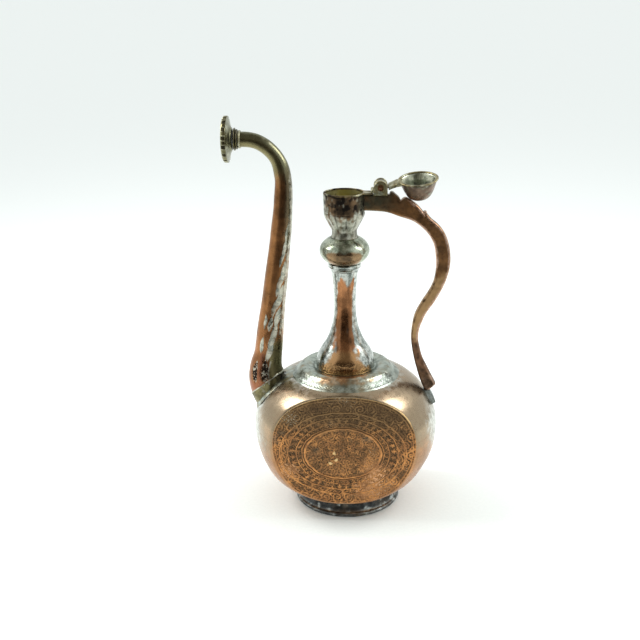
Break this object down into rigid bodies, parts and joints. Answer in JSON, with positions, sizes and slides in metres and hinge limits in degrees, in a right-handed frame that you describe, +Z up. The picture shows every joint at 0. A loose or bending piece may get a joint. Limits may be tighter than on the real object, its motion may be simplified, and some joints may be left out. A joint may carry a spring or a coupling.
{
  "type": "water jug",
  "caption": "Hammered copper water jug with a flattened round body, a tall neck, a curved spout ending in a rosette, an S-shaped handle and a hinged cup-shaped lid.",
  "frame": {"origin": "middle of the outer box in plan, on the surface that the foot stands on; the jug's own axis is 6.4 mm towards +X from it", "axes": "+Z up; the chased front faces -Y; the spout is on the -X side and the handle and hinge are on the +X side"},
  "size_m": [0.204, 0.11, 0.368],
  "materials": {
    "copper": "worn copper with remains of tinning, satin",
    "medallion_copper": "chased copper, dark in the recesses, satin",
    "worn_tin": "worn tinned copper, semi-gloss, copper showing through",
    "dark_patina": "dark grey patina on tinned copper, satin",
    "pale_rim": "pale tinned brass-like rim, satin",
    "red_copper_pin": "rubbed copper, satin"
  },
  "bodies": {
    "jug": {"lower_body": "copper", "upper_body": "copper", "handle_bar": "copper", "handle_leaf": "copper", "spout_rosette": "copper", "spout_collar_outer": "copper", "spout_lower": "copper", "spout_upper": "copper", "spout_bend": "copper", "front_medallion": "medallion_copper", "back_medallion": "medallion_copper", "shoulder_plate": "worn_tin", "neck_tube": "worn_tin", "neck_ring": "worn_tin", "knop_lower": "worn_tin", "knop_upper": "worn_tin", "mouth_cup": "worn_tin", "hinge_bracket": "worn_tin", "spout_saddle": "worn_tin", "spout_collar_inner": "worn_tin", "foot_ring": "dark_patina", "mouth_rim": "pale_rim", "hinge_pin": "red_copper_pin"},
    "lid": {"lid_knuckle": "worn_tin", "lid_strap": "worn_tin", "lid_flange": "pale_rim", "lid_bowl": "dark_patina"}
  },
  "joints": [
    {"name": "lid_hinge", "type": "hinge", "parent": "jug", "child": "lid", "pos_m": [0.0388, 0, 0.3052], "axis": [0, -0.9962, -0.0872], "range_deg": [0, 175.4]}
  ]
}
